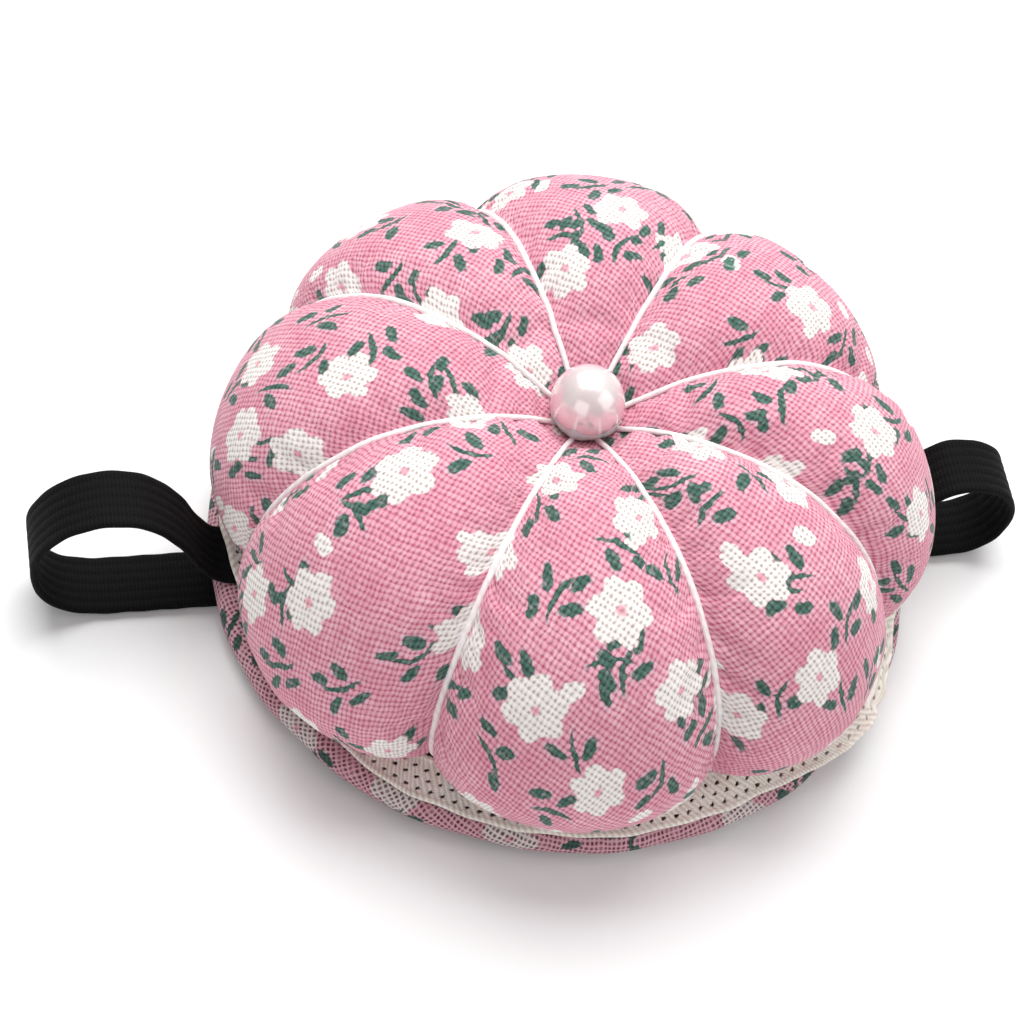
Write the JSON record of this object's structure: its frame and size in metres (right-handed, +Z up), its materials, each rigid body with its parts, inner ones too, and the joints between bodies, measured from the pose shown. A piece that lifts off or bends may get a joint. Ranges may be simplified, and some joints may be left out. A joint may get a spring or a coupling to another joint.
{
  "type": "wrist pin cushion",
  "caption": "Pumpkin-shaped stuffed pin cushion with thread-divided lobes and a pearl, on a round wrapped base with an elastic wrist band",
  "frame": {"origin": "middle of the flat underside of the wrist band's run, on which the cushion stands, below the pearl", "axes": "+Z up along the cushion's axis, +X along the wrist band towards its shorter loop, +Y across the band"},
  "size_m": [0.1125, 0.0821, 0.0341],
  "materials": {
    "print_cotton": "plain weave cotton, pink with white flowers and green leaves",
    "white_elastic": "fine white elastic thread",
    "pearl": "pearlescent coat",
    "clear_glue": "clear hot glue",
    "cream_lace": "cotton eyelet tape",
    "black_elastic": "ribbed braided elastic",
    "filling": "polyester fibre",
    "board": "stiff grey board"
  },
  "bodies": {
    "root": {"cushion_cover": "print_cotton", "fibre_filling": "filling", "segment_thread_1": "white_elastic", "segment_thread_2": "white_elastic", "segment_thread_3": "white_elastic", "segment_thread_4": "white_elastic", "segment_thread_5": "white_elastic", "segment_thread_6": "white_elastic", "segment_thread_7": "white_elastic", "segment_thread_8": "white_elastic", "centre_thread": "white_elastic", "tie_knot": "white_elastic", "gather_stitch": "white_elastic", "pearl_bead": "pearl", "pearl_glue": "clear_glue", "lace_trim": "cream_lace", "base_board": "board", "base_cover": "print_cotton", "base_glue": "clear_glue", "band_left_loop": "black_elastic", "band_left_bend": "black_elastic", "band_right_loop": "black_elastic", "band_right_bend": "black_elastic"},
    "wrist_run": {"band_wrist_run": "black_elastic"}
  },
  "joints": [
    {"name": "band_open", "type": "slide", "parent": "root", "child": "wrist_run", "axis": [0, 0, -1], "range_m": [0, 0.035], "deforming": ["band_left_bend", "band_right_bend"]}
  ]
}
